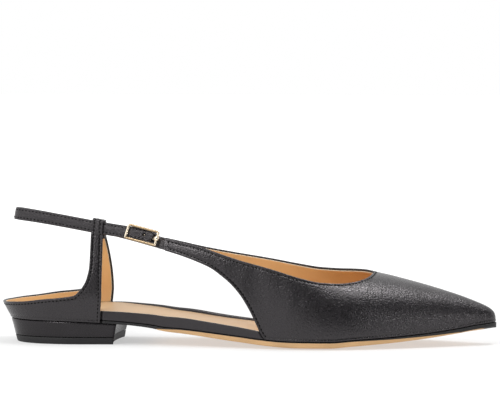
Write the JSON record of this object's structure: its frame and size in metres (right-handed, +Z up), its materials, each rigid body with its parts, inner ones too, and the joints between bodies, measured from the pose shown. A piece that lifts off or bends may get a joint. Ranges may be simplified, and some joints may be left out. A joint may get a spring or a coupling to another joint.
{
  "type": "slingback shoe",
  "caption": "Pointed flat slingback shoe in smooth leather with an open waist, a heel cup with two uprights and a buckled strap.",
  "frame": {"origin": "centre of the flat underside of the heel, on the floor", "axes": "+X from heel to toe, +Y towards the inner side of the foot, +Z up"},
  "size_m": [0.2722, 0.0762, 0.0736],
  "materials": {
    "black_leather": "smooth with a soft sheen",
    "tan_leather": "matt lining leather",
    "sole_leather": "natural leather with a painted upper edge",
    "heel_rubber": "matt",
    "gold_metal": "polished, pale gold plated"
  },
  "bodies": {
    "root": {"outsole": "sole_leather", "heel": "black_leather", "top_lift": "heel_rubber", "insole_board": "black_leather", "sock_lining": "tan_leather", "vamp": "black_leather", "heel_quarter": "black_leather", "sling_strap": "black_leather", "buckle_tab": "black_leather", "buckle_frame": "gold_metal", "buckle_prong": "gold_metal"}
  },
  "joints": []
}
